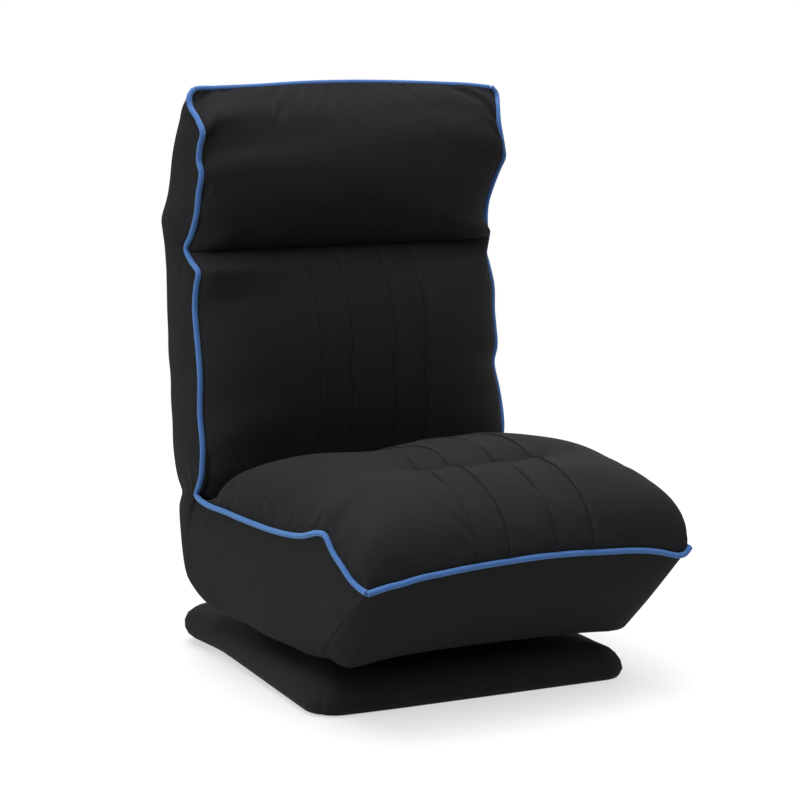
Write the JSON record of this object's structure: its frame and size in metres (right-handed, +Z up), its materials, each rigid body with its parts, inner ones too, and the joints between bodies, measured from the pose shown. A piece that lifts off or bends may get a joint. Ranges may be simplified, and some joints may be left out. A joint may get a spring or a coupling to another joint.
{
  "type": "floor gaming chair",
  "caption": "Legless upholstered floor chair on a square swivel base, with a ratchet reclining back, a ratchet headrest pillow and contrasting piping",
  "frame": {"origin": "on the floor, on the swivel axis, at the middle of the base", "axes": "+Z up, -Y towards the sitter's feet, so the sitter faces -Y, and +X to the sitter's left"},
  "size_m": [0.5576, 0.6455, 0.8818],
  "materials": {
    "charcoal_fabric": "near-black woven polyester, faint nap",
    "blue_piping": "mid-blue fabric cord, matt",
    "seat_cloth": "thin black non-woven dust cloth",
    "foam": "cut polyurethane foam, cream",
    "plywood": "raw birch plywood",
    "elastic_webbing": "ribbed elastic webbing",
    "frame_tube": "black powder coat",
    "hinge_steel": "zinc plated stamped steel",
    "glide_plastic": "black nail-on glide",
    "cage_plastic": "natural nylon"
  },
  "bodies": {
    "base": {"base_board": "plywood", "base_cover": "charcoal_fabric", "base_foam": "foam", "base_glides": "glide_plastic", "base_pedestal": "plywood", "turntable_king_nut": "hinge_steel", "turntable_king_pin": "hinge_steel", "turntable_lower_plate": "hinge_steel", "turntable_lower_screws": "hinge_steel"},
    "cage": {"turntable_ball_cage": "cage_plastic", "turntable_balls": "hinge_steel"},
    "seat": {"recline_pawl_left": "hinge_steel", "recline_pawl_pins": "hinge_steel", "recline_pawl_right": "hinge_steel", "recline_pawl_springs": "hinge_steel", "recline_rivets": "hinge_steel", "recline_seat_bolts": "hinge_steel", "recline_seat_leaf_left": "hinge_steel", "recline_seat_leaf_right": "hinge_steel", "seat_boxing": "charcoal_fabric", "seat_crossbars": "frame_tube", "seat_dust_cloth": "seat_cloth", "seat_foam": "foam", "seat_front_tube": "frame_tube", "seat_pad": "charcoal_fabric", "seat_piping": "blue_piping", "seat_rail_left": "frame_tube", "seat_rail_right": "frame_tube", "seat_rear_tube": "frame_tube", "seat_straps": "elastic_webbing", "turntable_upper_bolts": "hinge_steel", "turntable_upper_plate": "hinge_steel"},
    "back": {"back_cover": "charcoal_fabric", "back_foam": "foam", "back_lower_tube": "frame_tube", "back_pad": "charcoal_fabric", "back_piping": "blue_piping", "back_rail_left": "frame_tube", "back_rail_right": "frame_tube", "back_straps": "elastic_webbing", "back_upper_tube": "frame_tube", "head_back_bolts": "hinge_steel", "head_back_leaves": "hinge_steel", "head_pawl_pins": "hinge_steel", "head_pawl_springs": "hinge_steel", "head_pawls": "hinge_steel", "recline_back_bolts": "hinge_steel", "recline_back_leaf_left": "hinge_steel", "recline_back_leaf_right": "hinge_steel", "recline_gear_left": "hinge_steel", "recline_gear_right": "hinge_steel"},
    "head": {"head_bolts": "hinge_steel", "head_cover": "charcoal_fabric", "head_foam": "foam", "head_gears": "hinge_steel", "head_leaves": "hinge_steel", "head_pillow": "charcoal_fabric", "head_piping": "blue_piping", "head_rivets": "hinge_steel", "head_tube": "frame_tube"}
  },
  "joints": [
    {"name": "swivel", "type": "hinge", "parent": "base", "child": "seat", "pos_m": [0, 0, 0], "axis": [0, 0, 1], "continuous": true},
    {"name": "cage_turn", "type": "hinge", "parent": "base", "child": "cage", "pos_m": [0, 0, 0], "axis": [0, 0, 1], "continuous": true},
    {"name": "recline", "type": "hinge", "parent": "seat", "child": "back", "pos_m": [0, 0.134, 0.134], "axis": [-1, 0, 0], "range_deg": [0, 84]},
    {"name": "head_tilt", "type": "hinge", "parent": "back", "child": "head", "pos_m": [0, 0.17006, 0.64974], "axis": [1, 0, 0], "range_deg": [0, 24]}
  ],
  "couplings": [
    {"joint": "cage_turn", "follows": "swivel", "ratio": 0.5}
  ]
}
